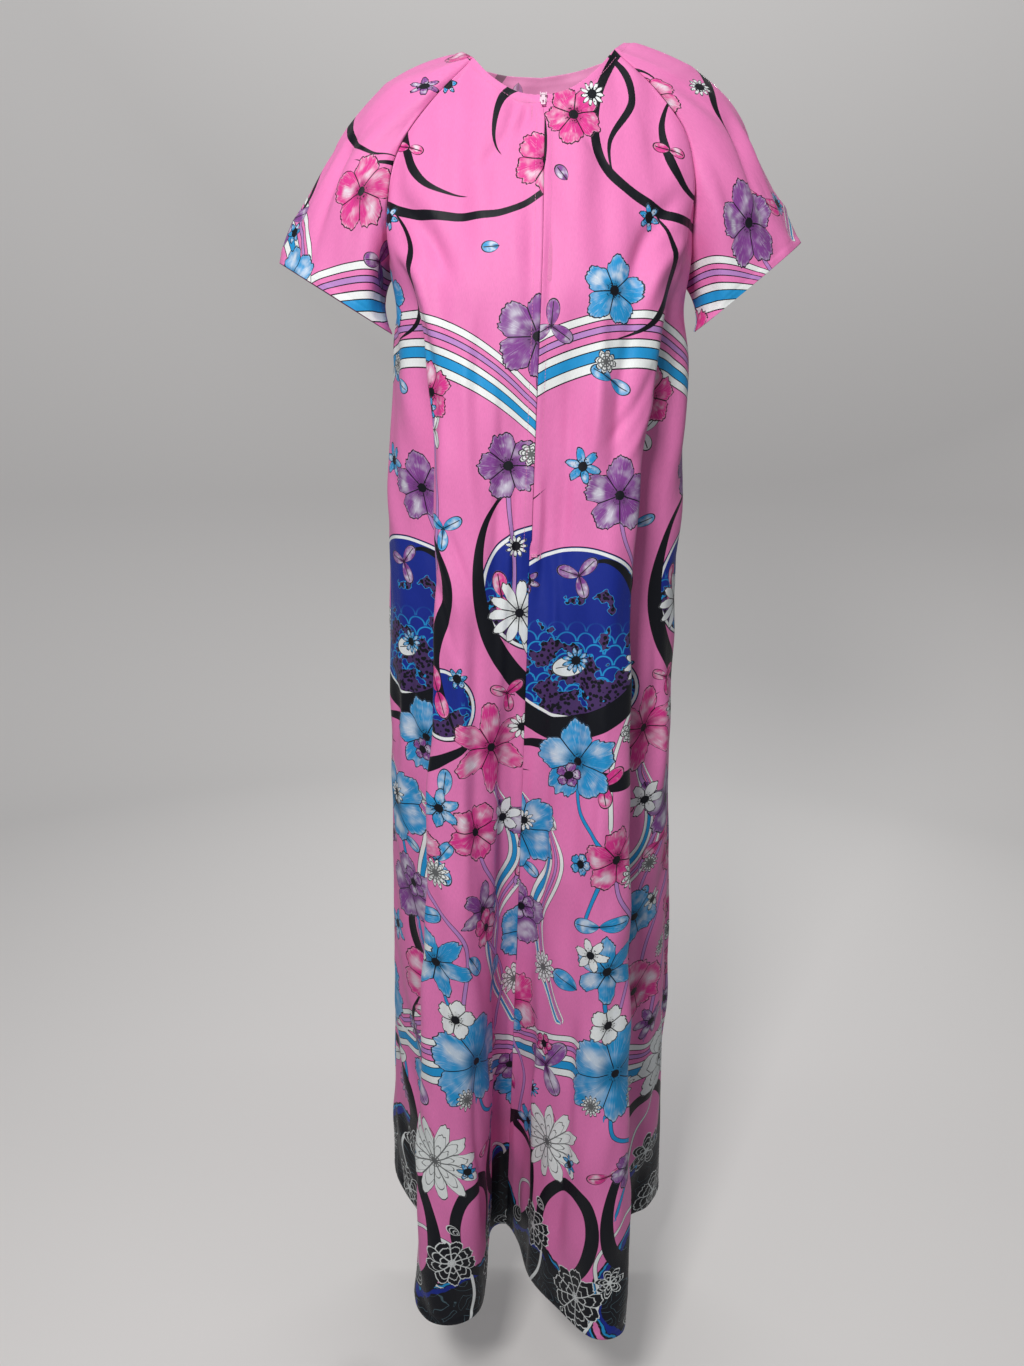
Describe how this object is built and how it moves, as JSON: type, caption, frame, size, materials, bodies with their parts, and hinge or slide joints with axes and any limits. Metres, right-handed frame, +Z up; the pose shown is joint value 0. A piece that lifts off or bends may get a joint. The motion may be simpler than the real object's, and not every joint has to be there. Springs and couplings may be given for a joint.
{
  "type": "zip-front maxi kaftan",
  "caption": "Floor-length kaftan with a round neck, short raglan sleeves and a front zip, in flower-printed satin, worn shape, hollow inside.",
  "frame": {"origin": "midway between the two neck points, where the wearer's shoulders hold the garment", "axes": "+Z up, -Y the way the wearer faces, +X the wearer's left"},
  "size_m": [0.5389, 0.3052, 1.3788],
  "materials": {
    "printed_cloth": "smooth, slightly lustrous",
    "zip_tape": "matt woven tape",
    "zip_plastic": "satin",
    "zip_metal": "glossy enamel"
  },
  "bodies": {
    "garment": {"front_right": "printed_cloth", "front_left": "printed_cloth", "back": "printed_cloth", "sleeve_right": "printed_cloth", "sleeve_left": "printed_cloth", "zip_tape_right": "zip_tape", "zip_tape_left": "zip_tape", "zip_coil": "zip_plastic", "zip_slider": "zip_metal"},
    "pull": {"zip_pull": "zip_metal"}
  },
  "joints": [
    {"name": "pull_swing", "type": "hinge", "parent": "garment", "child": "pull", "pos_m": [0, -0.08028, -0.06166], "axis": [1, 0, 0], "range_deg": [-150, 0]}
  ]
}
